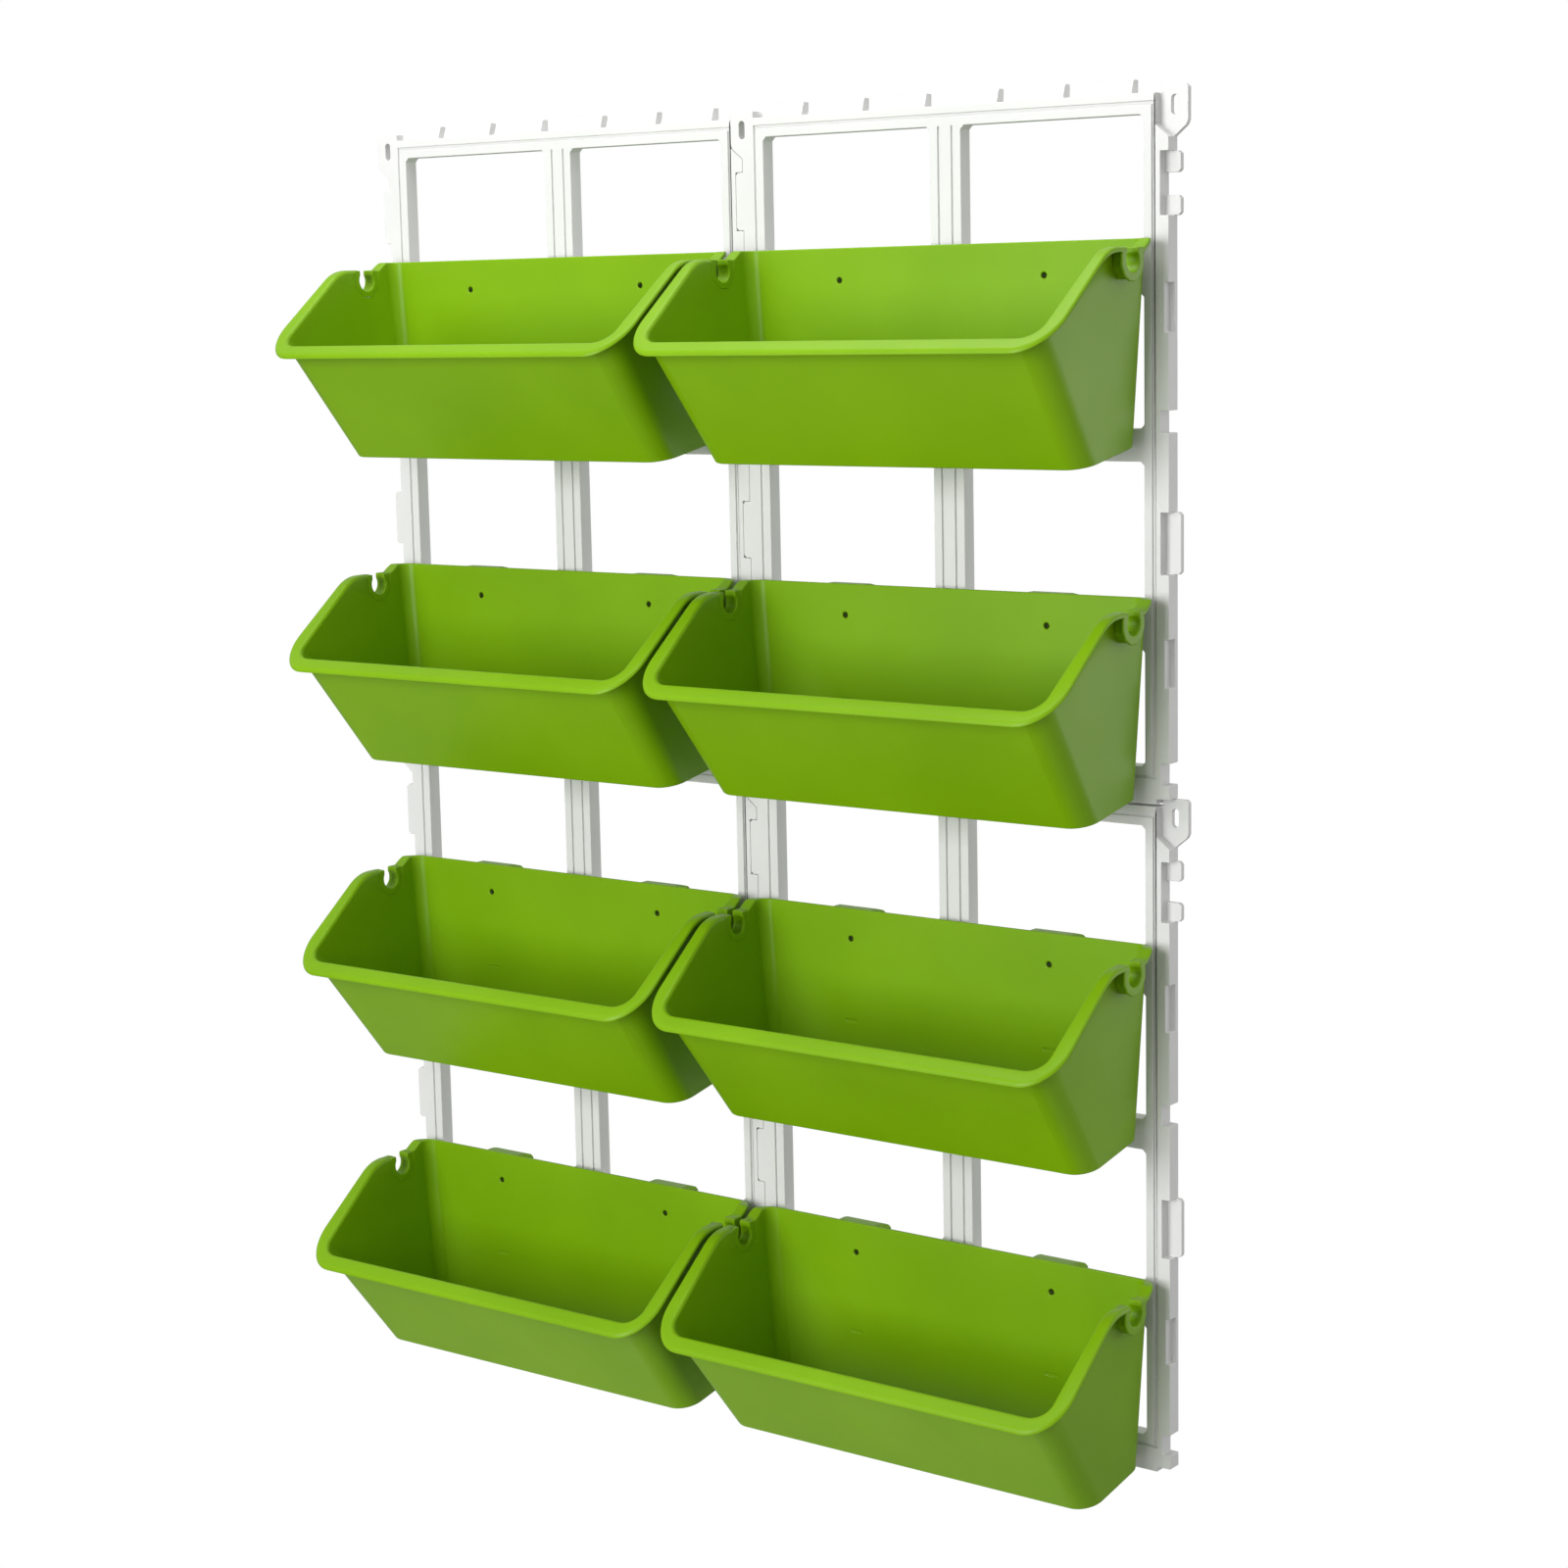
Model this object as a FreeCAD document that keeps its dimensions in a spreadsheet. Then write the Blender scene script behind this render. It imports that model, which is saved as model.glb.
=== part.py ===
import FreeCAD, Part
import Sketcher
import math
import os

doc = FreeCAD.newDocument("wall_planter")

# Sizes in millimetres
SIZES = {
    # Lattice panel: pitch, layers and gaps
    "panel_width": 380.0,
    "panel_height": 511.0,
    "frame_depth": 13.0,
    "rear_layer": 4.5,
    "joint_gap": 0.3,
    "plate_top_drop": 7.2,
    "bottom_lap": 5.6,
    # Windows and rails of the panel
    "stile_inset": 20.5,
    "mullion_half": 13.75,
    "top_rail": 22.0,
    "mid_rail_half": 11.8,
    "hook_rail_top": 113.0,
    "hook_rail_height": 34.0,
    "hook_rail_depth": 4.0,
    "window_bevel": 3.0,
    # Grooves on the front face
    "groove_inset": 6.5,
    "groove_width": 2.5,
    "groove_depth": 2.0,
    "mullion_groove_offset": 6.0,
    "mullion_groove_width": 1.6,
    # Side edge: recesses, tongues and notches, measured down from the top of each half panel
    "recess_depth": 7.0,
    "recess_top": 48.0,
    "recess_height": 45.0,
    "shallow_depth": 3.5,
    "shallow_top": 140.0,
    "shallow_height": 35.0,
    "tongue_reach": 5.0,
    "clip_top": 63.0,
    "clip_height": 16.0,
    "notch_rise": 9.0,
    "notch_height": 16.0,
    "tab_bevel": 2.0,
    # Screw ears at the top corners
    "ear_half": 11.0,
    "ear_top": 2.0,
    "ear_shoulder": 29.0,
    "ear_point": 38.0,
    "screw_slot_width": 5.5,
    "screw_slot_length": 14.0,
    "screw_slot_drop": 16.0,
    # Tongues on the top edge
    "strip_start": 171.0,
    "strip_shift": 178.0,
    "tongue_first": 37.0,
    "tongue_pitch": 57.0,
    "tongue_break": 6.0,
    "tongue_rise": 3.0,
    "tongue_foot": 10.0,
    "tongue_tip": 6.5,
    # Trough walls, measured from the front plane of the frame and down from the row line
    "pot_back_gap": 7.5,
    "pot_wall": 2.6,
    "pot_front_wall": 3.2,
    "pot_back_top": 108.7,
    "pot_low": 269.5,
    "pot_low_front": 81.0,
    "pot_high_front": 206.0,
    "pot_high": 106.0,
    "pot_taper": 11.9,
    "pot_corner": 18.0,
    "pot_back_corner": 12.0,
    "pot_back_lift": 14.5,
    # Rim of the trough
    "rim_side_gap": 2.5,
    "rim_overhang": 7.2,
    "rim_front": 160.5,
    "rim_corner": 30.0,
    "rim_back_corner": 18.0,
    "rim_thick": 4.0,
    "rim_side_level": 115.0,
    "rim_front_level": 182.5,
    "rim_back_land": 20.0,
    "rim_back_ramp": 9.0,
    "rim_slope_start": 75.0,
    "rim_slope_round": 35.0,
    # Pipe saddles in the sides of the trough
    "pipe_back": 45.0,
    "pipe_drop": 124.0,
    "pipe_radius": 8.5,
    "pipe_mouth": 14.0,
    "wall_notch_half": 13.0,
    "wall_notch_play": 5.0,
    "wall_notch_bevel": 8.0,
    "saddle_wall": 2.4,
    "saddle_plate": 2.4,
    "saddle_radius": 15.0,
    # Hooks, holes and marks of the trough
    "hook_width": 46.0,
    "hook_web": 2.0,
    "hook_leg": 2.5,
    "hook_drop": 9.0,
    "hook_play": 1.0,
    "hook_bevel": 5.0,
    "seat_gap": 0.2,
    "back_hole": 4.5,
    "back_hole_drop": 133.0,
    "mark_drop": 198.0,
    "mark_length": 10.0,
    "mark_width": 1.6,
    "mark_depth": 1.0,
    "drain_length": 22.0,
    "drain_width": 4.0,
    "drain_pitch": 100.0,
    "drain_inset": 16.0,
    # Placing
    "reach": 30.0,
}

sheet = doc.addObject("Spreadsheet::Sheet", "Sheet")
for row, (name, size) in enumerate(SIZES.items(), 1):
    sheet.set("A%d" % row, name)
    sheet.set("B%d" % row, str(size))
    sheet.setAlias("B%d" % row, name)
doc.recompute()


def of_sheet(text):
    """Turn bare size names in a formula into references to the sheet."""
    words = text.replace("(", " ( ").replace(")", " ) ").split()
    return " ".join("Sheet." + word if word in SIZES else word for word in words)


def plane(body, role):
    return [item for item in body.Origin.OriginFeatures if item.Role == role][0]


def new_sketch(body, name, role, offset=None):
    sketch = body.newObject("Sketcher::SketchObject", name)
    sketch.AttachmentSupport = [(plane(body, role), "")]
    sketch.MapMode = "FlatFace"
    if offset:
        sketch.setExpression("AttachmentOffset.Base.z", of_sheet(offset))
    return sketch


def outline(sketch, corners):
    """Closed outline with straight sides; each corner is a pair of formulas."""
    count = len(corners)
    first = sketch.GeometryCount
    spots = [FreeCAD.Vector(place, place * place, 0) for place in range(count)]
    for place in range(count):
        sketch.addGeometry(Part.LineSegment(spots[place], spots[(place + 1) % count]), False)
    for place in range(count):
        after = first + (place + 1) % count
        sketch.addConstraint(Sketcher.Constraint("Coincident", first + place, 2, after, 1))
    for place, corner in enumerate(corners):
        for kind, formula in zip(("DistanceX", "DistanceY"), corner):
            rule = sketch.addConstraint(Sketcher.Constraint(kind, -1, 1, first + place, 1, 1.0))
            sketch.setExpression("Constraints[%d]" % rule, of_sheet(formula))


def rectangle(sketch, left, right, low, high):
    outline(sketch, [(left, low), (right, low), (right, high), (left, high)])


def minus(formula):
    return "-1 * ( " + formula + " )"


def pad(body, sketch, length, centred=False):
    feature = body.newObject("PartDesign::Pad", "Pad")
    feature.Profile = sketch
    feature.setExpression("Length", of_sheet(length))
    feature.Midplane = centred
    doc.recompute()
    return feature


def pocket(body, sketch, depth, backward=False, through=False):
    feature = body.newObject("PartDesign::Pocket", "Pocket")
    feature.Profile = sketch
    feature.Reversed = backward
    if through:
        feature.Type = "ThroughAll"
        feature.Midplane = True
    else:
        feature.setExpression("Length", of_sheet(depth))
    doc.recompute()
    return feature


def edge_names(shape, chosen):
    return ["Edge%d" % (place + 1) for place, edge in enumerate(shape.Edges) if chosen(edge)]


def round_edges(body, radius, chosen):
    base = body.Tip
    feature = body.newObject("PartDesign::Fillet", "Fillet")
    feature.Base = (base, edge_names(base.Shape, chosen))
    feature.setExpression("Radius", of_sheet(radius))
    doc.recompute()
    return feature


def bevel_edges(body, size, chosen):
    base = body.Tip
    feature = body.newObject("PartDesign::Chamfer", "Chamfer")
    feature.Base = (base, edge_names(base.Shape, chosen))
    feature.setExpression("Size", of_sheet(size))
    doc.recompute()
    return feature


def runs_along(edge, direction):
    return abs(edge.tangentAt(edge.FirstParameter).dot(direction)) > 0.999


ACROSS = FreeCAD.Vector(1, 0, 0)
DEEP = FreeCAD.Vector(0, 1, 0)
UP = FreeCAD.Vector(0, 0, 1)

# Lattice panel, from the wall plane forward; the row line at its top is height 0
panel = doc.addObject("PartDesign::Body", "panel_form")
EDGE = "( panel_width / 2 - joint_gap / 2 )"
TOP = "-1 * plate_top_drop"
LOW = "( -1 * panel_height - bottom_lap )"
EAR_IN = "( panel_width / 2 - ear_half - joint_gap )"
EAR_OUT = "( panel_width / 2 + ear_half )"
CORNER_LOW = "( -1 * panel_height - ear_top + joint_gap )"


def level(half, height):
    """Height on the side edge of the upper (0) or lower (1) half of the panel."""
    return "( %s - %d * panel_height / 2 )" % (height, half)


RECESS_HIGH = "0 - recess_top"
RECESS_LOW = "0 - recess_top - recess_height"
SHALLOW_HIGH = "0 - shallow_top"
SHALLOW_LOW = "0 - shallow_top - shallow_height"
NOTCH_HIGH = "notch_rise + notch_height - panel_height / 2"
NOTCH_LOW = "notch_rise - panel_height / 2"


def bay(side, bottom, half, high, low):
    """Four corners of a bay or tab, going down the edge."""
    top = level(half, high)
    foot = level(half, low)
    return [(side, top), (bottom, top), (bottom, foot), (side, foot)]


def right_edge(half, front):
    """Corners going down the right edge."""
    recess = "( panel_width / 2 - recess_depth )"
    tongue = "( panel_width / 2 + tongue_reach )"
    if front:
        points = bay(EDGE, recess, half, RECESS_HIGH, RECESS_LOW)
        points += bay(EDGE, "( panel_width / 2 - shallow_depth )", half, SHALLOW_HIGH, SHALLOW_LOW)
    else:
        points = bay(EDGE, tongue, half, RECESS_HIGH, RECESS_LOW)
        if half == 0:
            points[2:2] = bay(tongue, recess, half, "0 - clip_top", "0 - clip_top - clip_height")
    return points + bay(EDGE, recess, half, NOTCH_HIGH, NOTCH_LOW)


def left_edge(half, front):
    """Corners going up the left edge; they meet the right edge of the next panel with the joint gap."""
    side = minus(EDGE)
    if front:
        points = bay(side, "( joint_gap - panel_width / 2 - recess_depth )", half,
                     RECESS_HIGH + " - joint_gap", RECESS_LOW + " + joint_gap")
        points += bay(side, "( joint_gap - panel_width / 2 - shallow_depth )", half,
                      SHALLOW_HIGH + " - joint_gap", SHALLOW_LOW + " + joint_gap")
    else:
        points = bay(side, "( joint_gap - panel_width / 2 + tongue_reach )", half,
                     RECESS_HIGH + " + joint_gap", RECESS_LOW + " - joint_gap")
    return points[::-1]


def bottom_corners():
    return [
        (EDGE, CORNER_LOW), (EAR_IN, CORNER_LOW), (EAR_IN, LOW),
        (minus(EAR_IN), LOW), (minus(EAR_IN), CORNER_LOW), (minus(EDGE), CORNER_LOW),
    ]


rear = new_sketch(panel, "rear_outline", "XZ_Plane")
ear_left = "( panel_width / 2 - ear_half )"
rear_points = [
    (minus(EAR_IN), TOP), (ear_left, TOP), (ear_left, "-1 * ear_top"), (EAR_OUT, "-1 * ear_top"),
    (EAR_OUT, "-1 * ear_shoulder"), (EDGE, "-1 * ear_point"),
]
rear_points += right_edge(0, False) + right_edge(1, False) + bottom_corners()
rear_points += left_edge(1, False) + left_edge(0, False)
EAR_LOW = "( -1 * ear_point - joint_gap )"
rear_points += [(minus(EDGE), EAR_LOW), (minus(EAR_IN), EAR_LOW)]
outline(rear, rear_points)
pad(panel, rear, "rear_layer")

front = new_sketch(panel, "front_outline", "XZ_Plane", "rear_layer")
ear_right = "( ear_half - panel_width / 2 )"
front_points = [
    (minus(EAR_OUT), "-1 * ear_top"), (ear_right, "-1 * ear_top"), (ear_right, TOP), (EAR_IN, TOP),
    (EAR_IN, "( -1 * ear_shoulder - joint_gap )"), (EDGE, EAR_LOW),
]
front_points += right_edge(0, True) + right_edge(1, True) + bottom_corners()
front_points += left_edge(1, True) + left_edge(0, True)
front_points += [(minus(EDGE), "-1 * ear_point"), (minus(EAR_OUT), "-1 * ear_shoulder")]
outline(front, front_points)
pad(panel, front, "( frame_depth - rear_layer )")

# Windows in two columns, between the rails
STILE = "( panel_width / 2 - stile_inset )"
HOOK_LOW = "( hook_rail_top + hook_rail_height )"
WINDOW_ROWS = [
    ("top_rail", "hook_rail_top"),
    (HOOK_LOW, "( panel_height / 2 - mid_rail_half )"),
    ("( panel_height / 2 + mid_rail_half )", "( hook_rail_top + panel_height / 2 )"),
    ("( " + HOOK_LOW + " + panel_height / 2 )", "( panel_height - top_rail )"),
]
COLUMNS = [("mullion_half", STILE), (minus(STILE), "-1 * mullion_half")]
windows = new_sketch(panel, "windows", "XZ_Plane")
for left, right in COLUMNS:
    for high, low in WINDOW_ROWS:
        rectangle(windows, left, right, minus(low), minus(high))
pocket(panel, windows, None, through=True)


def at_window(edge):
    spot = edge.CenterOfMass
    side = min(abs(abs(spot.x) - SIZES["mullion_half"]),
               abs(abs(spot.x) - SIZES["panel_width"] / 2 + SIZES["stile_inset"]))
    return runs_along(edge, DEEP) and side < SIZES["joint_gap"]


bevel_edges(panel, "window_bevel", at_window)

# Cut corners of the tabs that stand out at the sides


def at_tab(edge):
    outside = SIZES["panel_width"] / 2 + SIZES["joint_gap"]
    return runs_along(edge, DEEP) and abs(edge.CenterOfMass.x) > outside


bevel_edges(panel, "tab_bevel", at_tab)

# Space behind the hook rails for the hooks of the troughs
relief = new_sketch(panel, "rail_relief", "XZ_Plane")
for left, right in COLUMNS:
    for half in range(2):
        low = level(half, "0 - hook_rail_top - hook_rail_height - window_bevel")
        high = level(half, "window_bevel - hook_rail_top")
        rectangle(relief, left, right, low, high)
pocket(panel, relief, "( frame_depth - hook_rail_depth )", backward=True)

# Grooves on the front face
grooves = new_sketch(panel, "grooves", "XZ_Plane", "frame_depth")
inner = "( panel_width / 2 - stile_inset + groove_inset )"
outer = "( panel_width / 2 - stile_inset + groove_inset + groove_width )"
inner_high = "( groove_inset - top_rail )"
outer_high = "( groove_inset + groove_width - top_rail )"
inner_low = "( top_rail - groove_inset - panel_height )"
outer_low = "( top_rail - groove_inset - groove_width - panel_height )"
rectangle(grooves, minus(outer), outer, outer_low, outer_high)
rectangle(grooves, minus(inner), inner, inner_low, inner_high)
line_in = "( mullion_groove_offset - mullion_groove_width / 2 )"
line_out = "( mullion_groove_offset + mullion_groove_width / 2 )"
line_high = "-1 * top_rail"
line_low = "( top_rail - panel_height )"
pocket(panel, grooves, "groove_depth")
lines = new_sketch(panel, "mullion_lines", "XZ_Plane", "frame_depth")
rectangle(lines, line_in, line_out, line_low, line_high)
rectangle(lines, minus(line_out), minus(line_in), line_low, line_high)
pocket(panel, lines, "groove_depth")

# Sockets in the bottom edge and tongues on the top edge
sockets = new_sketch(panel, "sockets", "XZ_Plane")
for strip in range(2):
    begin = "( %d * strip_shift - strip_start - joint_gap )" % strip
    end = "( %d * strip_shift - strip_start + tongue_first + 2 * tongue_pitch + joint_gap )" % strip
    socket_low = "( -1 * panel_height - 2 * bottom_lap )"
    socket_high = "( tongue_rise + joint_gap - panel_height )"
    rectangle(sockets, begin, end, socket_low, socket_high)
pocket(panel, sockets, "( tongue_foot + joint_gap )", backward=True)
for strip in range(2):
    for tongue in range(3):
        finish = "( %d * strip_shift - strip_start + tongue_first + %d * tongue_pitch )" % (strip, tongue)
        length = "( tongue_pitch - tongue_break )" if tongue else "tongue_first"
        profile = new_sketch(panel, "tongue", "YZ_Plane", finish)
        outline(profile, [
            ("0", TOP), ("0", "tongue_rise"), ("-1 * tongue_tip", "tongue_rise"), ("-1 * tongue_foot", TOP),
        ])
        lip = pad(panel, profile, length)
        lip.Reversed = True
        doc.recompute()

# Screw slots through the ears
slots = new_sketch(panel, "screw_slots", "XZ_Plane")


def screw_slot(sketch, sign):
    """Upright slot with round ends on the left (-1) or right (1) pitch line of the panel."""
    first = sketch.GeometryCount
    radius = SIZES["screw_slot_width"] / 2
    across = sign * SIZES["panel_width"] / 2
    run = SIZES["screw_slot_length"] / 2 - radius
    high = FreeCAD.Vector(across, run - SIZES["screw_slot_drop"], 0)
    low = FreeCAD.Vector(across, -run - SIZES["screw_slot_drop"], 0)
    aside = FreeCAD.Vector(radius, 0, 0)
    sketch.addGeometry(Part.ArcOfCircle(Part.Circle(high, UP, radius), 0, math.pi), False)
    sketch.addGeometry(Part.ArcOfCircle(Part.Circle(low, UP, radius), math.pi, 2 * math.pi), False)
    sketch.addGeometry(Part.LineSegment(high - aside, low - aside), False)
    sketch.addGeometry(Part.LineSegment(low + aside, high + aside), False)
    for one, one_end, two, two_end in ((0, 2, 2, 1), (2, 2, 1, 1), (1, 2, 3, 1), (3, 2, 0, 1)):
        sketch.addConstraint(Sketcher.Constraint("Tangent", first + one, one_end, first + two, two_end))
    reach_up = "screw_slot_length / 2 - screw_slot_width / 2"
    rules = (
        ("DistanceX", 0, high.x, "%d * panel_width / 2" % sign),
        ("DistanceY", 0, high.y, "( " + reach_up + " - screw_slot_drop )"),
        ("DistanceY", 1, low.y, "( 0 - ( " + reach_up + " ) - screw_slot_drop )"),
    )
    for kind, item, size, formula in rules:
        rule = sketch.addConstraint(Sketcher.Constraint(kind, -1, 1, first + item, 3, size))
        sketch.setExpression("Constraints[%d]" % rule, of_sheet(formula))
    sketch.addConstraint(Sketcher.Constraint("Vertical", first + 2))
    rule = sketch.addConstraint(Sketcher.Constraint("Radius", first, radius))
    sketch.setExpression("Constraints[%d]" % rule, of_sheet("screw_slot_width / 2"))


screw_slot(slots, 1)
screw_slot(slots, -1)
pocket(panel, slots, None, through=True)

# Trough, measured from the front plane of the frame; the row line is height 0
RIM_HALF = "( panel_width / 2 - rim_side_gap )"
HIGH_HALF = "( panel_width / 2 - rim_side_gap - rim_overhang )"
LOW_HALF = "( panel_width / 2 - rim_side_gap - rim_overhang - pot_taper )"
BACK_MIDDLE = -0.5 * SIZES["pot_low_front"]


def trough_form(name, inset, front_inset):
    """Tapered form of the trough with every wall drawn in by the inset."""
    body = doc.addObject("PartDesign::Body", name)
    back = "( -1 * pot_back_gap - %s )" % inset
    floor = "( %s - pot_low )" % inset
    lean = "( pot_high_front - pot_low_front ) / ( pot_low - pot_high )"
    low_front = "( %s - pot_low_front - %s * %s )" % (front_inset, inset, lean)
    side = new_sketch(body, name + "_side", "YZ_Plane")
    outline(side, [
        (low_front, floor),
        ("( %s - pot_high_front )" % front_inset, "-1 * pot_high"),
        (back, "-1 * pot_high"),
        (back, "( %s - pot_low + pot_back_lift )" % inset),
    ])
    pad(body, side, "( 2 * " + HIGH_HALF + " )", centred=True)
    flanks = new_sketch(body, name + "_flanks", "XZ_Plane")
    for sign in (-1, 1):
        outline(flanks, [
            ("%d * ( %s - %s )" % (sign, LOW_HALF, inset), "-1 * pot_low"),
            ("%d * ( %s - %s )" % (sign, HIGH_HALF, inset), "-1 * pot_high"),
            ("%d * ( %s + reach )" % (sign, HIGH_HALF), "-1 * pot_high"),
            ("%d * ( %s + reach )" % (sign, HIGH_HALF), "-1 * pot_low"),
        ])
    pocket(body, flanks, None, through=True)

    def upright(edge):
        return abs(edge.tangentAt(edge.FirstParameter).z) > 0.7

    round_edges(body, "( pot_corner - %s )" % inset,
                lambda edge: upright(edge) and edge.CenterOfMass.y < BACK_MIDDLE)
    round_edges(body, "( pot_back_corner - %s )" % inset,
                lambda edge: upright(edge) and edge.CenterOfMass.y > BACK_MIDDLE)
    return body


def rim_plan(name):
    """Upright block with the plan of the rim."""
    body = doc.addObject("PartDesign::Body", name)
    plan = new_sketch(body, name + "_plan", "XY_Plane", "( -1 * rim_front_level - reach )")
    rectangle(plan, minus(RIM_HALF), RIM_HALF, "-1 * rim_front", "-1 * pot_back_gap")
    pad(body, plan, "( rim_front_level + reach - pot_high )")
    round_edges(body, "rim_corner",
                lambda edge: runs_along(edge, UP) and edge.CenterOfMass.y < BACK_MIDDLE)
    round_edges(body, "rim_back_corner",
                lambda edge: runs_along(edge, UP) and edge.CenterOfMass.y > BACK_MIDDLE)
    return body


def side_region(name, drop, far):
    """Everything between the side line of the rim, lowered by the drop, and a far level."""
    body = doc.addObject("PartDesign::Body", name)
    region = new_sketch(body, name + "_side", "YZ_Plane")
    slope = "( rim_front_level - rim_side_level ) / ( rim_front - rim_slope_start )"
    front_end = "( -1 * pot_high_front - reach )"
    front_low = "( %s * ( %s + rim_slope_start ) - rim_side_level - %s )" % (slope, front_end, drop)
    outline(region, [
        ("reach", "( -1 * pot_back_top - %s )" % drop),
        ("-1 * rim_back_land", "( -1 * pot_back_top - %s )" % drop),
        ("( -1 * rim_back_land - rim_back_ramp )", "( -1 * rim_side_level - %s )" % drop),
        ("-1 * rim_slope_start", "( -1 * rim_side_level - %s )" % drop),
        (front_end, front_low),
        (front_end, far),
        ("reach", far),
    ])
    pad(body, region, "( 2 * %s + reach )" % RIM_HALF, centred=True)

    def at_slope(edge):
        return runs_along(edge, ACROSS) and abs(edge.CenterOfMass.y + SIZES["rim_slope_start"]) < 1.0

    round_edges(body, "rim_slope_round", at_slope)
    return body


def combine(kind, name, first, second):
    feature = doc.addObject(kind, name)
    feature.Base = first
    feature.Tool = second
    doc.recompute()
    return feature


def move(feature, across, deep, height):
    for axis, formula in zip("xyz", (across, deep, height)):
        feature.setExpression("Placement.Base." + axis, of_sheet(formula))


def span(middle, width):
    return "( %s - %s / 2 )" % (middle, width), "( %s + %s / 2 )" % (middle, width)


def block(name, left, right, front_side, back_side, low, high):
    feature = doc.addObject("Part::Box", name)
    feature.setExpression("Length", of_sheet("( %s ) - ( %s )" % (right, left)))
    feature.setExpression("Width", of_sheet("( %s ) - ( %s )" % (back_side, front_side)))
    feature.setExpression("Height", of_sheet("( %s ) - ( %s )" % (high, low)))
    move(feature, left, front_side, low)
    return feature


def rod(name, radius, length, across, deep, height, turn):
    feature = doc.addObject("Part::Cylinder", name)
    feature.setExpression("Radius", of_sheet(radius))
    feature.setExpression("Height", of_sheet(length))
    feature.Placement = FreeCAD.Placement(FreeCAD.Vector(), turn)
    move(feature, across, deep, height)
    return feature


def post(name, sides, flat, length, across, deep, height, turn):
    """Many-sided rod, measured from its middle to its flats."""
    feature = doc.addObject("Part::Prism", name)
    feature.Polygon = sides
    half_side = 180.0 / sides
    corner = 1 / math.cos(math.radians(half_side))
    feature.setExpression("Circumradius", of_sheet("( %s ) * %.6f" % (flat, corner)))
    feature.setExpression("Height", of_sheet(length))
    feature.Placement = FreeCAD.Placement(FreeCAD.Vector(), turn.multiply(FreeCAD.Rotation(UP, half_side)))
    move(feature, across, deep, height)
    return feature


ALONG_X = FreeCAD.Rotation(DEEP, 90)
ALONG_Y = FreeCAD.Rotation(ACROSS, -90)
IN_WALL = "( -1 * pot_back_gap - pot_wall / 2 )"
CREST = "-1 * pot_back_top"
PIPE_Y = "-1 * pipe_back"
PIPE_Z = "-1 * pipe_drop"
PLATE_SIDES = 12
HOLE_SIDES = 8


def hook(name, centre):
    """Hook that reaches over the rail; its crest falls away to the back and its ends are bevelled."""
    body = doc.addObject("PartDesign::Body", name)
    profile = new_sketch(body, name + "_profile", "YZ_Plane", "( %s - hook_width / 2 )" % centre)
    leg_front = "( hook_rail_depth + hook_play )"
    leg_back = "( hook_rail_depth + hook_play + hook_leg )"
    seat = "( seat_gap - hook_rail_top )"
    leg_low = "( -1 * hook_rail_top - hook_drop )"
    outline(profile, [
        (IN_WALL, seat),
        (leg_front, seat),
        (leg_front, leg_low),
        (leg_back, leg_low),
        (leg_back, "( seat_gap + hook_web - hook_rail_top )"),
        ("0", CREST),
        (IN_WALL, CREST),
    ])
    pad(body, profile, "hook_width")
    ends = new_sketch(body, name + "_ends", "XZ_Plane")
    for sign in (-1, 1):
        tip = "( %s + %d * hook_width / 2 )" % (centre, sign)
        shoulder = "( %s + %d * ( hook_width / 2 - hook_bevel ) )" % (centre, sign)
        outline(ends, [(tip, seat), (tip, CREST), (shoulder, CREST)])
    pocket(body, ends, None, through=True)
    return body


def saddle(name, sign):
    """Plate under the rim, and a block behind the pipe that joins it to the wall."""
    plate_left = "( %s - saddle_plate )" % RIM_HALF if sign > 0 else minus(RIM_HALF)
    plate = post(name + "_plate", PLATE_SIDES, "saddle_radius", "saddle_plate", plate_left, PIPE_Y, PIPE_Z,
                 ALONG_X)
    link_left, link_right = (HIGH_HALF, RIM_HALF) if sign > 0 else (minus(RIM_HALF), minus(HIGH_HALF))
    link = block(name + "_link", link_left, link_right, PIPE_Y, "( pipe_radius + saddle_wall - pipe_back )",
                 "( -1 * pipe_drop - pipe_radius - saddle_wall )", "-1 * rim_side_level")
    return [plate, link]


def wall_notch(name):
    """Notch in both side walls that the pipe passes through with room to spare."""
    body = doc.addObject("PartDesign::Body", name)
    profile = new_sketch(body, name + "_profile", "YZ_Plane")
    low = "( -1 * pipe_drop - pipe_radius - wall_notch_play )"
    shoulder = "( wall_notch_bevel - pipe_drop - pipe_radius - wall_notch_play )"
    corners = []
    for sign in (-1, 1):
        wide = "( %d * wall_notch_half - pipe_back )" % sign
        narrow = "( %d * ( wall_notch_half - wall_notch_bevel ) - pipe_back )" % sign
        flank = [(wide, "-1 * rim_side_level"), (wide, shoulder), (narrow, low)]
        corners += flank if sign < 0 else flank[::-1]
    outline(profile, corners)
    pad(body, profile, "( 2 * " + HIGH_HALF + " )", centred=True)
    return body


wall_form = trough_form("wall_form", "0", "0")
cavity = trough_form("cavity", "pot_wall", "pot_front_wall")
above_rim = side_region("above_rim", "0", "( 0 - reach )")
below_rim = side_region("below_rim", "rim_thick", "( -1 * pot_low - reach )")
rim = combine("Part::Cut", "rim", rim_plan("rim_block"), below_rim)

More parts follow.
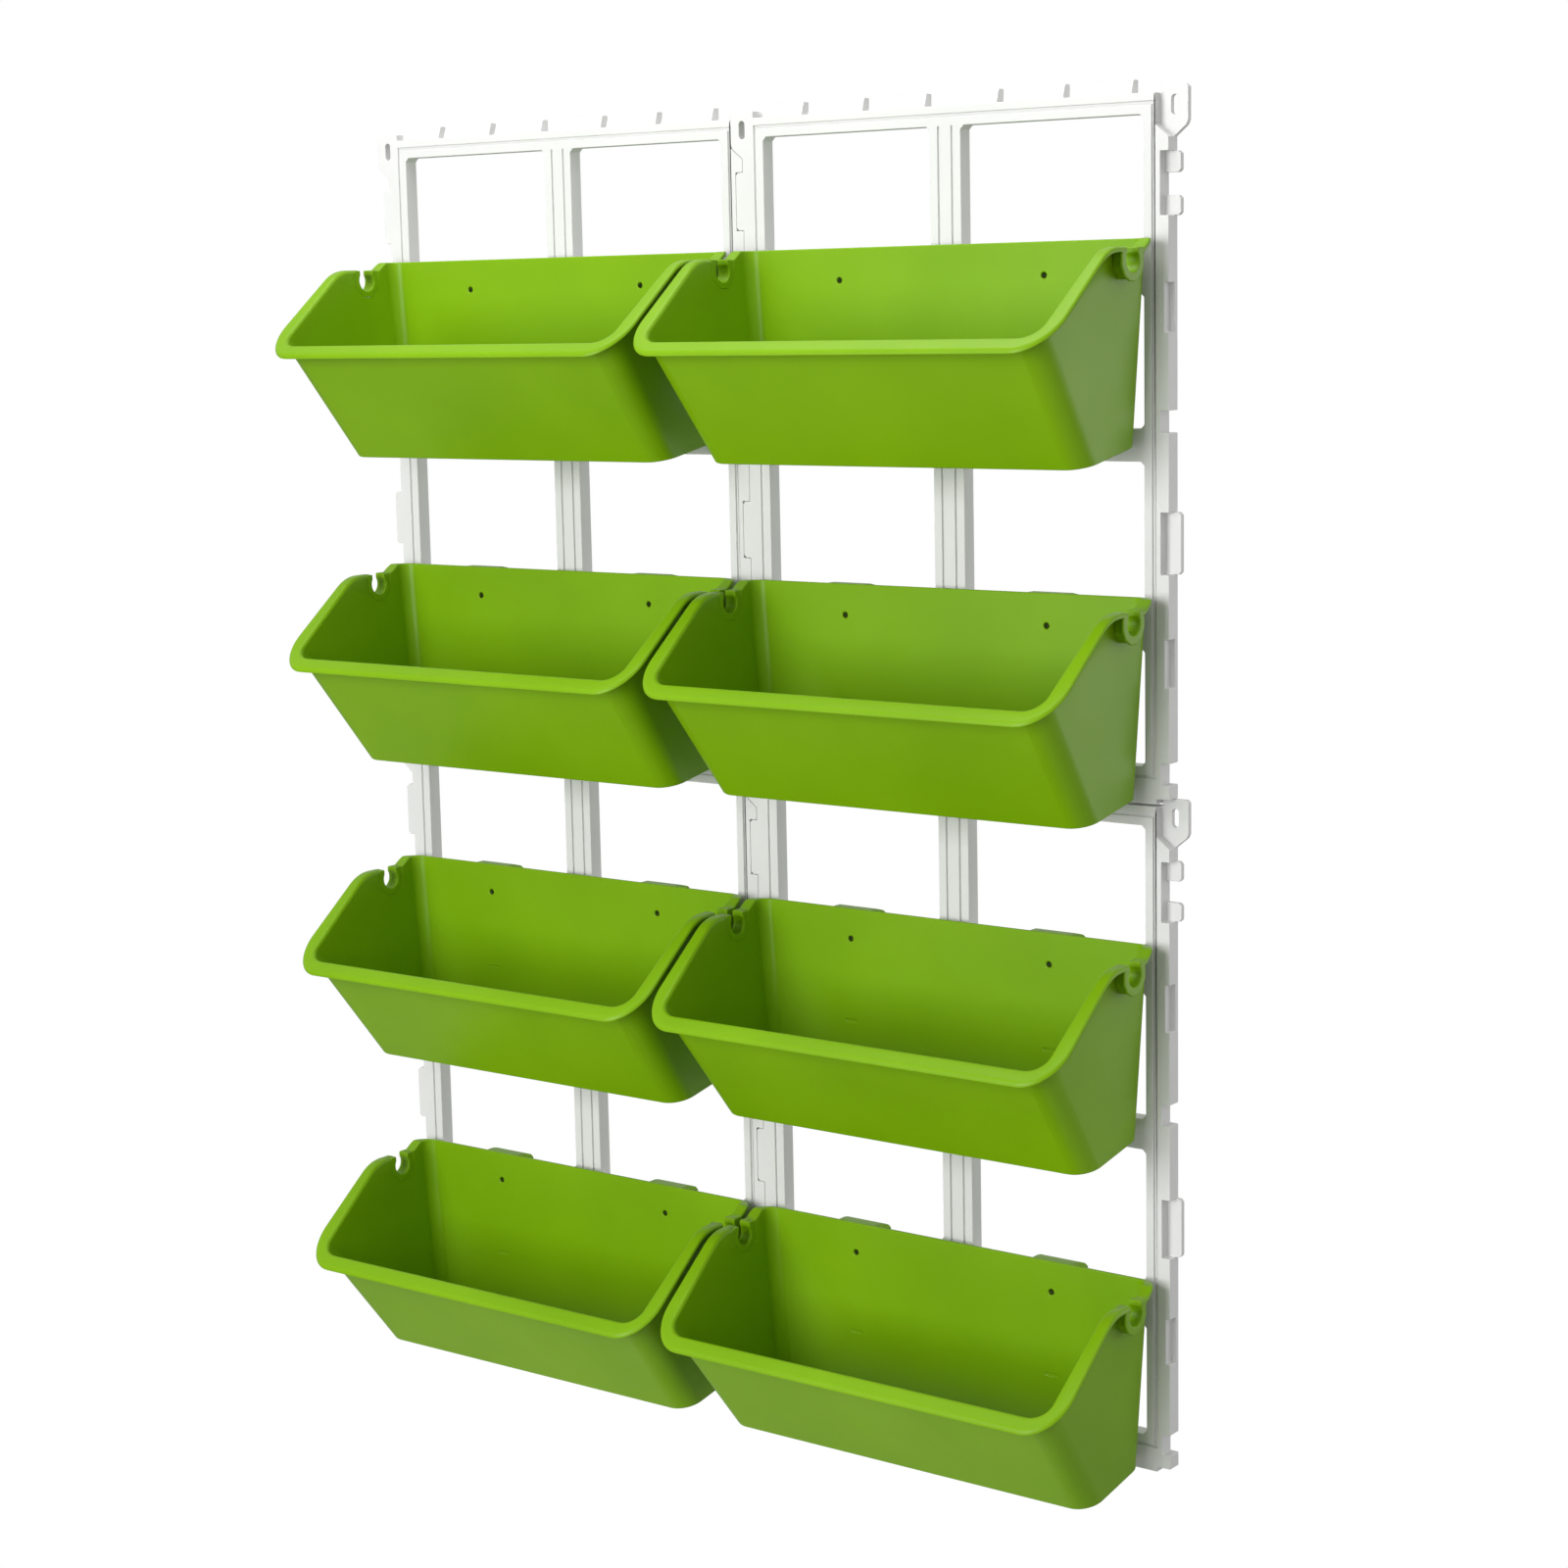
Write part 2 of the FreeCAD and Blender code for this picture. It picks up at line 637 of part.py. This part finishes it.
added = [wall_form, rim]
removed = [cavity, above_rim]
for side, sign in (("left", -1), ("right", 1)):
    added += saddle("saddle_" + side, sign)
    centre = "( %d * ( mullion_half + %s ) / 2 )" % (sign, STILE)
    added.append(hook("hook_" + side, centre))
    removed.append(post("back_hole_" + side, HOLE_SIDES, "back_hole / 2", "2 * pot_wall", centre,
                        "( -1 * pot_back_gap - 1.5 * pot_wall )", "-1 * back_hole_drop", ALONG_Y))
    removed.append(block("mark_" + side, *span(centre, "mark_length"), "( -1 * pot_back_gap - 2 * pot_wall )",
                         "( mark_depth - pot_back_gap - pot_wall )", "( -1 * mark_drop - mark_width )",
                         "-1 * mark_drop"))

WIDE = "( 2 * %s + reach )" % RIM_HALF
SIDE = "( -1 * %s - reach / 2 )" % RIM_HALF
removed.append(rod("pipe_pass", "pipe_radius", WIDE, SIDE, PIPE_Y, PIPE_Z, ALONG_X))
removed.append(block("pipe_mouth", SIDE, minus(SIDE), "( -1 * pipe_back - pipe_mouth / 2 )",
                     "( pipe_mouth / 2 - pipe_back )", PIPE_Z, "( 0 - reach )"))
removed.append(wall_notch("wall_notch"))
for step in (-1, 0, 1):
    middle = "%d * drain_pitch" % step
    removed.append(block("drain", *span(middle, "drain_length"), "( drain_inset - pot_low_front )",
                         "( drain_inset + drain_width - pot_low_front )", "( -1 * pot_low - reach )",
                         "( pot_back_lift - pot_low )"))

solid = doc.addObject("Part::MultiFuse", "pot_solid")
solid.Shapes = added
cutters = doc.addObject("Part::MultiFuse", "pot_cutters")
cutters.Shapes = removed
doc.recompute()
pot = combine("Part::Cut", "pot_form", solid, cutters)

# The pieces: four panels and eight troughs, about the middle of the centre column of screw slots
DATUM = "( screw_slot_drop + panel_height / 2 )"
pieces = []


def piece(label, form, across, deep, height):
    body = doc.addObject("PartDesign::Body", label)
    body.Label = label
    copy = body.newObject("PartDesign::FeatureBase", label + "_form")
    copy.BaseFeature = form
    body.Tip = copy
    move(body, across, deep, height)
    pieces.append(body)


for side, sign in (("left", -1), ("right", 1)):
    across = "%d * panel_width / 2" % sign
    for row, level in enumerate(("upper", "lower")):
        piece("frame_%s_%s" % (level, side), panel, across, "0", "( %s - %d * panel_height )" % (DATUM, row))
    for row in range(4):
        height = "( %s - %d * panel_height / 2 )" % (DATUM, row)
        piece("pot_row%d_%s" % (row + 1, side), pot, across, "-1 * frame_depth", height)
doc.recompute()

# Every shape is sound before it is written
for item in doc.Objects:
    if "Invalid" in item.State or "Error" in item.State:
        raise RuntimeError("%s did not build: %s" % (item.Label, item.State))
os.makedirs("parts", exist_ok=True)
for body in pieces:
    if body.Shape.isNull() or not body.Shape.isValid() or len(body.Shape.Solids) != 1:
        raise RuntimeError("%s is not one sound solid" % body.Label)
    body.Shape.exportStep("parts/%s.step" % body.Label)
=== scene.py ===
import math

import bmesh
import bpy
from mathutils import Matrix, Vector


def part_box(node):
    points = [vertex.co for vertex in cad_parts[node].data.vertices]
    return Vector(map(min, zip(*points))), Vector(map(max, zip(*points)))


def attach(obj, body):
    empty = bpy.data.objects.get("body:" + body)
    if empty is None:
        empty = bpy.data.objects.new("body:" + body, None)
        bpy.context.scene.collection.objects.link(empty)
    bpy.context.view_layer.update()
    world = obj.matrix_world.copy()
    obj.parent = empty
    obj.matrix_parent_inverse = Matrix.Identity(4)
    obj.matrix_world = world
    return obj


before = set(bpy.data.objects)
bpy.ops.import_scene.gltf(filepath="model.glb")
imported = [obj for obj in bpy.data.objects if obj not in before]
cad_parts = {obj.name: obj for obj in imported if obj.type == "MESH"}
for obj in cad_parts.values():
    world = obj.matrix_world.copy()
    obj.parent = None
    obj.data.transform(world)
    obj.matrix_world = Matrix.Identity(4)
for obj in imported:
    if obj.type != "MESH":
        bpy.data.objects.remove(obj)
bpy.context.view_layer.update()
scene = bpy.context.scene

# Sockets of the Mix node when it mixes colours
MIX_AMOUNT = 0
MIX_FIRST = 6
MIX_SECOND = 7
MIX_RESULT = 2

# Clouds in the plastic's colour
CLOUD_SCALE = 7.0
CLOUD_DETAIL = 3.0
CLOUD_LOW = 0.32
CLOUD_HIGH = 0.68

# Painted highlight on sharp edges, lighter where the surface turns: the turn is the cosine between the
# softened and the true normal, and the radius is in metres
FULL_HIGHLIGHT_TURN = 0.80
NO_HIGHLIGHT_TURN = 0.97
HIGHLIGHT_RADIUS = 0.0016
HIGHLIGHT_SAMPLES = 4
HIGHLIGHT_AMOUNT = 0.45

# Painted shade in inside corners, darker where other surfaces are near: openness is 1 where nothing is near,
# and the reach is in metres
FULL_SHADE_OPENNESS = 0.25
NO_SHADE_OPENNESS = 0.75
SHADE_REACH = 0.02
SHADE_SAMPLES = 6
SHADE_AMOUNT = 0.35

# Sheen: how far the roughness wanders below and above its mean
SHEEN_SCALE = 26.0
SHEEN_DETAIL = 4.0
SHEEN_BELOW = 0.05
SHEEN_ABOVE = 0.07

# Flow lines of the moulding, drawn out upwards, and its fine grain, with depths in metres
FLOW_STRETCH = (14.0, 14.0, 2.5)
FLOW_SCALE = 3.0
FLOW_DETAIL = 2.0
FLOW_STRENGTH = 0.06
FLOW_DEPTH = 0.004
GRAIN_SCALE = 1600.0
GRAIN_DETAIL = 2.0
GRAIN_STRENGTH = 0.10
GRAIN_DEPTH = 0.0002
PLASTIC_IOR = 1.49


# Shader node helpers
def empty_tree(owner):
    """The node tree of a material or world, cleared."""
    owner.use_nodes = True
    owner.node_tree.nodes.clear()
    return owner.node_tree


def grey(level):
    return (level, level, level, 1)


def noise(tree, coordinate, scale, detail):
    made = tree.nodes.new("ShaderNodeTexNoise")
    made.inputs["Scale"].default_value = scale
    made.inputs["Detail"].default_value = detail
    tree.links.new(coordinate, made.inputs["Vector"])
    return made.outputs["Fac"]


def ramp(tree, source, low, high, first, second):
    """The first colour where the source is low, the second where it is high."""
    made = tree.nodes.new("ShaderNodeValToRGB")
    start, end = made.color_ramp.elements
    start.position = low
    start.color = first
    end.position = high
    end.color = second
    tree.links.new(source, made.inputs["Fac"])
    return made.outputs["Color"]


def tint(tree, amount, colour, second):
    """The colour, turned to the second one by the amount."""
    made = tree.nodes.new("ShaderNodeMix")
    made.data_type = "RGBA"
    tree.links.new(amount, made.inputs[MIX_AMOUNT])
    tree.links.new(colour, made.inputs[MIX_FIRST])
    made.inputs[MIX_SECOND].default_value = second
    return made.outputs[MIX_RESULT]


def bump(tree, height, strength, distance, below=None):
    made = tree.nodes.new("ShaderNodeBump")
    made.inputs["Strength"].default_value = strength
    made.inputs["Distance"].default_value = distance
    tree.links.new(height, made.inputs["Height"])
    if below:
        tree.links.new(below, made.inputs["Normal"])
    return made.outputs["Normal"]


def edge_highlight_mask(tree):
    """Painted highlight on edges: bright where the surface turns sharply, where the bevelled normal leaves
    the true one.
    """
    soft = tree.nodes.new("ShaderNodeBevel")
    soft.samples = HIGHLIGHT_SAMPLES
    soft.inputs["Radius"].default_value = HIGHLIGHT_RADIUS
    true = tree.nodes.new("ShaderNodeNewGeometry")
    turn = tree.nodes.new("ShaderNodeVectorMath")
    turn.operation = "DOT_PRODUCT"
    tree.links.new(soft.outputs["Normal"], turn.inputs[0])
    tree.links.new(true.outputs["Normal"], turn.inputs[1])
    return ramp(tree, turn.outputs["Value"], FULL_HIGHLIGHT_TURN, NO_HIGHLIGHT_TURN, grey(HIGHLIGHT_AMOUNT), grey(0))


def corner_shade_mask(tree):
    """Painted shade: bright in inside corners."""
    openness = tree.nodes.new("ShaderNodeAmbientOcclusion")
    openness.samples = SHADE_SAMPLES
    openness.inputs["Distance"].default_value = SHADE_REACH
    return ramp(tree, openness.outputs["AO"], FULL_SHADE_OPENNESS, NO_SHADE_OPENNESS, grey(SHADE_AMOUNT), grey(0))


def moulded_plastic(name, dark, light, edge, corner_shade, rough, gloss):
    """Injection-moulded plastic: cloudy colour, flow lines, fine grain, painted highlights on sharp edges and
    painted shade in inside corners.
    """
    material = bpy.data.materials.new(name)
    tree = empty_tree(material)
    out = tree.nodes.new("ShaderNodeOutputMaterial")
    shader = tree.nodes.new("ShaderNodeBsdfPrincipled")
    tree.links.new(shader.outputs[0], out.inputs[0])
    spot = tree.nodes.new("ShaderNodeTexCoord").outputs["Object"]

    clouds = noise(tree, spot, CLOUD_SCALE, CLOUD_DETAIL)
    colour = ramp(tree, clouds, CLOUD_LOW, CLOUD_HIGH, dark, light)
    # Inside corners turned darker: painted shade
    colour = tint(tree, corner_shade_mask(tree), colour, corner_shade)
    # Sharp edges turned lighter: painted highlight
    colour = tint(tree, edge_highlight_mask(tree), colour, edge)
    tree.links.new(colour, shader.inputs["Base Color"])

    sheen = tree.nodes.new("ShaderNodeMapRange")
    sheen.inputs["To Min"].default_value = rough - SHEEN_BELOW
    sheen.inputs["To Max"].default_value = rough + SHEEN_ABOVE
    tree.links.new(noise(tree, spot, SHEEN_SCALE, SHEEN_DETAIL), sheen.inputs["Value"])
    tree.links.new(sheen.outputs["Result"], shader.inputs["Roughness"])

    stretch = tree.nodes.new("ShaderNodeMapping")
    stretch.inputs["Scale"].default_value = FLOW_STRETCH
    tree.links.new(spot, stretch.inputs["Vector"])
    flow_height = noise(tree, stretch.outputs["Vector"], FLOW_SCALE, FLOW_DETAIL)
    flow = bump(tree, flow_height, FLOW_STRENGTH, FLOW_DEPTH)
    grain_height = noise(tree, spot, GRAIN_SCALE, GRAIN_DETAIL)
    grain = bump(tree, grain_height, GRAIN_STRENGTH, GRAIN_DEPTH, flow)
    tree.links.new(grain, shader.inputs["Normal"])
    shader.inputs["IOR"].default_value = PLASTIC_IOR
    shader.inputs["Specular IOR Level"].default_value = gloss
    return material


GREEN = moulded_plastic(
    "pot_green_plastic",
    dark=(0.180, 0.372, 0.001, 1),
    light=(0.210, 0.420, 0.002, 1),
    # The edge colour is a painted highlight on sharp edges
    edge=(0.30, 0.55, 0.02, 1),
    # The next colour is painted shade for inside corners
    corner_shade=(0.12, 0.25, 0.004, 1),
    rough=0.36,
    gloss=0.23,
)
WHITE = moulded_plastic(
    "frame_white_plastic",
    dark=(0.73, 0.73, 0.72, 1),
    light=(0.78, 0.78, 0.77, 1),
    # The edge colour is a painted highlight on sharp edges
    edge=(0.90, 0.90, 0.90, 1),
    # The next colour is painted shade for inside corners
    corner_shade=(0.70, 0.70, 0.68, 1),
    rough=0.42,
    gloss=0.3,
)

# Places on a trough are in metres from its lowest front corner, and across from its middle.
# The rim rises in a straight line over its run, from its front height to its back height, and then is level.
RIM_FRONT = 0.087
RIM_BACK = 0.1545
RIM_RUN = 0.0855
RIM_SLOPE = (RIM_BACK - RIM_FRONT) / RIM_RUN
RIM_HALF = 0.1875
RIM_CORNER = 0.030

# How far an edge may lie from the rim's line and from its outer edge and still belong to them
LINE_REACH = 0.0024
OUTER_REACH = 0.0022

# Where the rim's own rounding ends, before the saddle, on its inner and outer edge
INNER_END = 0.1015
OUTER_END = 0.1035

# Axis of the drip pipe
PIPE_BEHIND = 0.1155
PIPE_HEIGHT = 0.1455

# Edges that stay sharp: the thin tip under the rim's back corner, and the notch in the wall for the pipe
TIP_BEHIND = 0.1515
TIP_HEIGHT = 0.1568
TIP_REACH = 0.0025
NOTCH_HEIGHT = 0.1432
NOTCH_REACH = 0.0135
NOTCH_ACROSS = 0.1806

# Widths of the rounding, and the turn from which an edge counts as sharp
INNER_ROUND = 0.0032
OUTER_ROUND = 0.0022
EDGE_ROUND = 0.0011
SEAT_ROUND = 0.0006
PANEL_ROUND = 0.0006
ROUND_STEPS = 4
SHARP = math.radians(28)

# Points of the loaded mesh that are nearer than this are one point of the solid
WELD_REACH = 0.00001

# The weighted normal leans fully to the larger faces
LARGE_FACES = 100


# Geometry node helpers
def calc(group, operation, *values):
    """The operation on numbers and on what other nodes give."""
    made = group.nodes.new("ShaderNodeMath")
    made.operation = operation
    for socket, value in zip(made.inputs, values):
        if isinstance(value, float):
            socket.default_value = value
        else:
            group.links.new(value, socket)
    return made.outputs[0]


def near(group, value, middle, reach):
    """1 where the value is within reach of the middle, otherwise 0."""
    return calc(group, "COMPARE", value, middle, reach)


def both(group, first, second):
    """1 where both are 1."""
    return calc(group, "MULTIPLY", first, second)


def past(group, value, limit):
    """How far the value is past the limit."""
    return calc(group, "MAXIMUM", calc(group, "SUBTRACT", value, limit), 0.0)


def square(group, value):
    return calc(group, "POWER", value, 2.0)


def apart(group, vector):
    """The vector's x, y and z."""
    made = group.nodes.new("ShaderNodeSeparateXYZ")
    group.links.new(vector, made.inputs[0])
    return made.outputs


def trough_place(group, geometry):
    """Where an edge lies on its trough: across from the middle, behind the front and above the bottom."""
    box = group.nodes.new("GeometryNodeBoundBox")
    group.links.new(geometry, box.inputs[0])
    low_x, low_y, low_z = apart(group, box.outputs["Min"])
    x, y, z = apart(group, group.nodes.new("GeometryNodeInputPosition").outputs[0])
    middle = calc(group, "ADD", low_x, RIM_HALF)
    across = calc(group, "ABSOLUTE", calc(group, "SUBTRACT", x, middle))
    behind = calc(group, "SUBTRACT", y, low_y)
    height = calc(group, "SUBTRACT", z, low_z)
    return across, behind, height


def round_width(group, across, behind, height):
    """Width of the rounding: most on the rim's inner edge, less on its outer edge, least on other edges."""
    rise = calc(group, "MULTIPLY_ADD", behind, RIM_SLOPE, RIM_FRONT)
    on_line = near(group, height, calc(group, "MINIMUM", rise, RIM_BACK), LINE_REACH)
    past_side = past(group, across, RIM_HALF - RIM_CORNER)
    past_front = past(group, RIM_CORNER, behind)
    spread = calc(group, "SQRT", calc(group, "ADD", square(group, past_side), square(group, past_front)))
    outer = near(group, spread, RIM_CORNER, OUTER_REACH)
    end = calc(group, "MULTIPLY_ADD", outer, OUTER_END - INNER_END, INNER_END)
    on_rim = both(group, on_line, calc(group, "LESS_THAN", behind, end))
    more = calc(group, "MULTIPLY_ADD", outer, OUTER_ROUND - INNER_ROUND, INNER_ROUND - EDGE_ROUND)
    return calc(group, "MULTIPLY_ADD", on_rim, more, EDGE_ROUND)


def stays_sharp(group, across, behind, height):
    """1 for the edges at the tip and the notch, which aren't rounded."""
    tip_behind = near(group, behind, TIP_BEHIND, TIP_REACH)
    at_tip = both(group, tip_behind, near(group, height, TIP_HEIGHT, TIP_REACH))
    notch_behind = near(group, behind, PIPE_BEHIND, NOTCH_REACH)
    notch_side = both(group, notch_behind, near(group, height, NOTCH_HEIGHT, NOTCH_REACH))
    at_notch = both(group, notch_side, calc(group, "LESS_THAN", across, NOTCH_ACROSS))
    return calc(group, "MAXIMUM", at_tip, at_notch)


def edge_weights(name):
    """Weights that tell the bevel how far to round each sharp outside edge of a trough."""
    group = bpy.data.node_groups.new(name, "GeometryNodeTree")
    group.is_modifier = True
    group.interface.new_socket("Geometry", in_out="INPUT", socket_type="NodeSocketGeometry")
    group.interface.new_socket("Geometry", in_out="OUTPUT", socket_type="NodeSocketGeometry")
    geometry = group.nodes.new("NodeGroupInput").outputs[0]

    place = trough_place(group, geometry)
    angle = group.nodes.new("GeometryNodeInputMeshEdgeAngle").outputs["Signed Angle"]
    sharp = calc(group, "GREATER_THAN", angle, SHARP)
    rounded = both(group, sharp, calc(group, "SUBTRACT", 1.0, stays_sharp(group, *place)))
    weight = calc(group, "DIVIDE", round_width(group, *place), INNER_ROUND)

    store = group.nodes.new("GeometryNodeStoreNamedAttribute")
    store.data_type = "FLOAT"
    store.domain = "EDGE"
    store.inputs["Name"].default_value = "bevel_weight_edge"
    group.links.new(geometry, store.inputs["Geometry"])
    group.links.new(calc(group, "MULTIPLY", rounded, weight), store.inputs["Value"])
    group.links.new(store.outputs[0], group.nodes.new("NodeGroupOutput").inputs[0])
    return group


POT_EDGES = edge_weights("pot_edges")

# Pipe seats: depth and height in metres about the pipe's axis, across from the trough's middle.
# Bore and mouth are a little narrower than the saddle plate's, so that their faces don't lie on the plate's.
SEAT_BORE = 0.00845
SEAT_MOUTH = 0.0069
SEAT_HALF = 0.0129
SEAT_FOOT = 0.005
SEAT_TOP = 0.0087
SEAT_SHOULDER = -0.0055
SEAT_LOW = -0.0134
SEAT_INSIDE = 0.1770
SEAT_OUTSIDE = 0.1863
SEAT_STEPS = 28
WALL_LEAN = 0.0728


def seat_outline():
    """Outline of a pipe seat in depth and height: a block that fills the wall's notch, less the bore."""
    block = [(-SEAT_HALF, SEAT_TOP), (-SEAT_HALF, SEAT_SHOULDER), (-SEAT_FOOT, SEAT_LOW)]
    points = block + [(-y, z) for y, z in reversed(block)]
    points.append((SEAT_MOUTH, SEAT_TOP))
    opening = math.asin(SEAT_MOUTH / SEAT_BORE)
    for step in range(SEAT_STEPS + 1):
        turn = opening + (2 * math.pi - 2 * opening) * step / SEAT_STEPS
        points.append((SEAT_BORE * math.sin(turn), SEAT_BORE * math.cos(turn)))
    points.append((-SEAT_MOUTH, SEAT_TOP))
    return points


def add_seat(shape, axis, side):
    """One seat, from the inside of the leaning wall out into the saddle plate."""
    inner = []
    outer = []
    for y, z in seat_outline():
        inside = SEAT_INSIDE - WALL_LEAN * (SEAT_TOP - z)
        inner.append(shape.verts.new(axis + Vector((side * inside, y, z))))
        outer.append(shape.verts.new(axis + Vector((side * SEAT_OUTSIDE, y, z))))
    shape.faces.new(inner)
    shape.faces.new(outer[::-1])
    count = len(inner)
    for i in range(count):
        j = (i + 1) % count
        shape.faces.new((inner[j], inner[i], outer[i], outer[j]))


def pipe_seats(pot):
    """Both seats of a trough: they carry the bore of the saddle plate through to the inside of the wall."""
    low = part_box(pot)[0]
    axis = Vector((low[0] + RIM_HALF, low[1] + PIPE_BEHIND, low[2] + PIPE_HEIGHT))
    shape = bmesh.new()
    for side in (-1, 1):
        add_seat(shape, axis, side)
    bmesh.ops.recalc_face_normals(shape, faces=shape.faces)
    mesh = bpy.data.meshes.new(pot.replace("pot", "pipe_seats"))
    shape.to_mesh(mesh)
    shape.free()
    piece = bpy.data.objects.new(mesh.name, mesh)
    scene.collection.objects.link(piece)
    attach(piece, pot)
    return piece


def dress(piece, material, width, weights=None):
    """Give the piece its material and round its moulded edges, by their weights or else by their angle."""
    piece.data.materials.clear()
    piece.data.materials.append(material)
    weld = piece.modifiers.new("weld", "WELD")
    weld.merge_threshold = WELD_REACH
    if weights:
        piece.modifiers.new("weights", "NODES").node_group = weights
    bevel = piece.modifiers.new("edge", "BEVEL")
    bevel.width = width
    bevel.segments = ROUND_STEPS
    bevel.limit_method = "WEIGHT" if weights else "ANGLE"
    bevel.angle_limit = SHARP
    bevel.use_clamp_overlap = False
    bevel.loop_slide = False
    smooth = piece.modifiers.new("smooth", "WEIGHTED_NORMAL")
    smooth.weight = LARGE_FACES


for name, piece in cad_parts.items():
    if name.startswith("pot"):
        dress(piece, GREEN, INNER_ROUND, POT_EDGES)
        dress(pipe_seats(name), GREEN, SEAT_ROUND)
    else:
        dress(piece, WHITE, PANEL_ROUND)

# Camera of the photograph: lens and sensor in millimetres, place and clipping in metres
CAMERA_YAW = math.radians(37.13)
CAMERA_PITCH = math.radians(8.84)
CAMERA_ROLL = math.radians(-1.18)
CAMERA_PLACE = (1.504, -1.962, 0.1241)
CAMERA_LENS = 71.325
CAMERA_SENSOR = 36.0
CLIP_START = 0.05
CLIP_END = 60.0

# Floor, well below the hung planter
FLOOR_SPAN = 14.0
FLOOR_LEVEL = -1.55
FLOOR_GREY = 0.42

# Light of the room before and behind the planter: one turns into the other near the wall's plane
ROOM_FRONT = 0.40
ROOM_BACK = 0.64
ROOM_TURN = 0.5


def camera_turn():
    """The camera's axes: yaw and pitch first, then the roll about the view."""
    flat = math.cos(CAMERA_PITCH)
    ahead = Vector((-math.sin(CAMERA_YAW) * flat, math.cos(CAMERA_YAW) * flat, -math.sin(CAMERA_PITCH)))
    level = Vector((math.cos(CAMERA_YAW), math.sin(CAMERA_YAW), 0.0))
    above = level.cross(ahead)
    right = level * math.cos(CAMERA_ROLL) + above * math.sin(CAMERA_ROLL)
    up = above * math.cos(CAMERA_ROLL) - level * math.sin(CAMERA_ROLL)
    return Matrix((right, up, -ahead)).transposed().to_4x4()


def photo_camera():
    data = bpy.data.cameras.new("photo_camera")
    data.sensor_width = CAMERA_SENSOR
    data.lens = CAMERA_LENS
    data.clip_start = CLIP_START
    data.clip_end = CLIP_END
    camera = bpy.data.objects.new("photo_camera", data)
    scene.collection.objects.link(camera)
    camera.matrix_world = Matrix.Translation(Vector(CAMERA_PLACE)) @ camera_turn()
    return camera


def seen_or_lit(tree, seen, lit, out):
    """One shader for what is looked at directly and another for the light that reaches the part."""
    ray = tree.nodes.new("ShaderNodeLightPath")
    choose = tree.nodes.new("ShaderNodeMixShader")
    tree.links.new(ray.outputs["Is Camera Ray"], choose.inputs[0])
    tree.links.new(lit.outputs[0], choose.inputs[1])
    tree.links.new(seen.outputs[0], choose.inputs[2])
    tree.links.new(choose.outputs[0], out.inputs[0])


def pale_floor():
    """White to look at, a soft grey for the light it sends back."""
    material = bpy.data.materials.new("pale_floor")
    tree = empty_tree(material)
    paper = tree.nodes.new("ShaderNodeEmission")
    paper.inputs["Strength"].default_value = 1.0
    matt = tree.nodes.new("ShaderNodeBsdfDiffuse")
    matt.inputs["Color"].default_value = grey(FLOOR_GREY)
    seen_or_lit(tree, paper, matt, tree.nodes.new("ShaderNodeOutputMaterial"))
    return material


def add_floor():
    mesh = bpy.data.meshes.new("floor")
    corners = [(FLOOR_SPAN * x, FLOOR_SPAN * y, FLOOR_LEVEL) for x, y in ((-1, -1), (1, -1), (1, 1), (-1, 1))]
    mesh.from_pydata(corners, [], [range(len(corners))])
    mesh.materials.append(pale_floor())
    floor = bpy.data.objects.new("floor", mesh)
    scene.collection.objects.link(floor)


def studio_world():
    """A white backdrop to look at, and a room that is lighter behind the planter for its light."""
    world = bpy.data.worlds.new("studio")
    tree = empty_tree(world)
    backdrop = tree.nodes.new("ShaderNodeBackground")
    backdrop.inputs["Strength"].default_value = 1.0
    backdrop.inputs["Color"].default_value = grey(1)
    room = tree.nodes.new("ShaderNodeBackground")
    room.inputs["Strength"].default_value = 1.0
    direction = tree.nodes.new("ShaderNodeSeparateXYZ")
    tree.links.new(tree.nodes.new("ShaderNodeTexCoord").outputs["Generated"], direction.inputs[0])
    depth = tree.nodes.new("ShaderNodeMapRange")
    depth.inputs["From Min"].default_value = -ROOM_TURN
    depth.inputs["From Max"].default_value = ROOM_TURN
    tree.links.new(direction.outputs["Y"], depth.inputs["Value"])
    walls = ramp(tree, depth.outputs["Result"], 0.0, 1.0, grey(ROOM_FRONT), grey(ROOM_BACK))
    tree.links.new(walls, room.inputs["Color"])
    seen_or_lit(tree, backdrop, room, tree.nodes.new("ShaderNodeOutputWorld"))
    return world


def softbox(name, spot, target, width, height, power):
    """A rectangular lamp of so many metres and watts, turned to the target."""
    data = bpy.data.lights.new(name, "AREA")
    data.shape = "RECTANGLE"
    data.size = width
    data.size_y = height
    data.energy = power
    lamp = bpy.data.objects.new(name, data)
    lamp.location = spot
    lamp.rotation_euler = (Vector(target) - Vector(spot)).to_track_quat("-Z", "Y").to_euler()
    lamp.visible_camera = False
    scene.collection.objects.link(lamp)


scene.camera = photo_camera()
add_floor()
scene.world = studio_world()
softbox("key", spot=(-0.3, -3.2, 0.25), target=(0, 0, -0.05), width=1.8, height=2.0, power=84)
softbox("top", spot=(-0.1, -0.4, 1.5), target=(0, -0.1, 0), width=1.6, height=1.0, power=18)
softbox("kicker", spot=(2.8, 3.2, -0.5), target=(0, 0, -0.3), width=2.6, height=2.6, power=36)
scene.view_settings.view_transform = "Standard"
scene.view_settings.look = "None"
